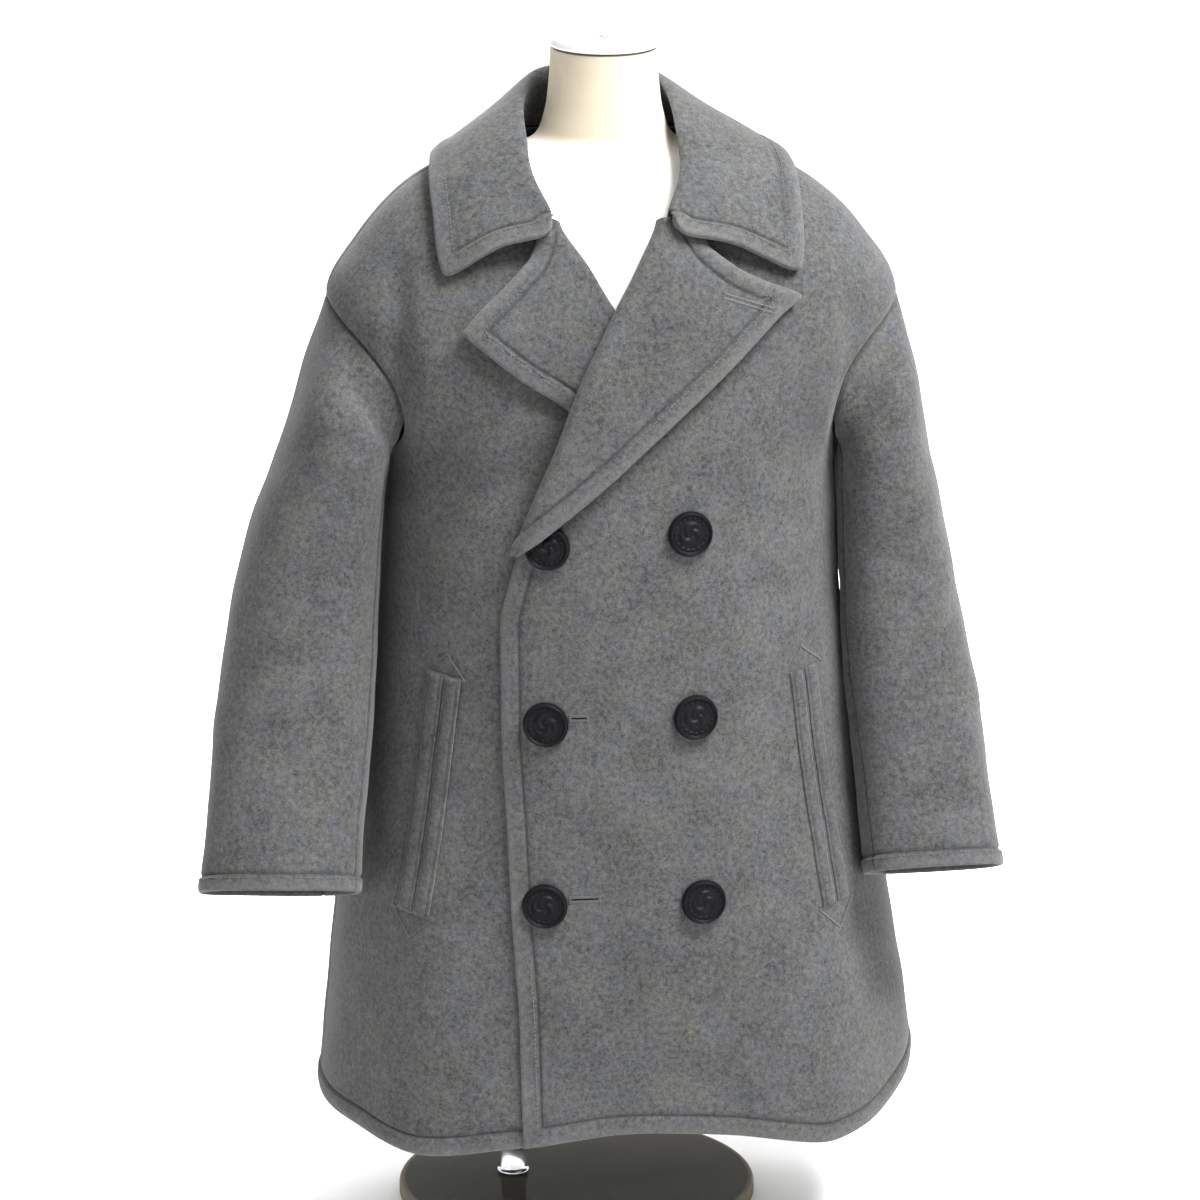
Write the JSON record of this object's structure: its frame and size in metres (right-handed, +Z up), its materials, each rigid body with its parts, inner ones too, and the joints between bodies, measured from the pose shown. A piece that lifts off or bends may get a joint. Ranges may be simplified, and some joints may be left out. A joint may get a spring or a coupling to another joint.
{
  "type": "double-breasted pea coat on a limbless dress form with a pole and round base plate",
  "caption": "Double-breasted wool coat with a wide collar, lapels and welt pockets, worn on a limbless dress form on a pole and round base.",
  "frame": {"origin": "on the floor in the underside of the base plate, under the middle of the coat", "axes": "+Z up along the pole, the coat's front faces -Y, the wearer's left is +X"},
  "size_m": [0.6522, 0.3399, 0.985],
  "materials": {
    "melton": "matte napped wool",
    "button_plastic": "satin",
    "jersey": "smooth cotton jersey",
    "cap": "white",
    "pole_chrome": "polished",
    "plate_paint": "dark gloss"
  },
  "bodies": {
    "root": {"base_plate": "plate_paint", "pole": "pole_chrome", "form_torso": "jersey", "neck_cap": "cap", "front_left": "melton", "front_right": "melton", "facing_left": "melton", "facing_right": "melton", "back": "melton", "collar": "melton", "sleeve_upper_left": "melton", "sleeve_under_left": "melton", "sleeve_upper_right": "melton", "sleeve_under_right": "melton", "welt_front_left": "melton", "welt_back_left": "melton", "welt_front_right": "melton", "welt_back_right": "melton", "button_top_right": "button_plastic", "button_top_left": "button_plastic", "button_middle_right": "button_plastic", "button_middle_left": "button_plastic", "button_bottom_right": "button_plastic", "button_bottom_left": "button_plastic"}
  },
  "joints": []
}
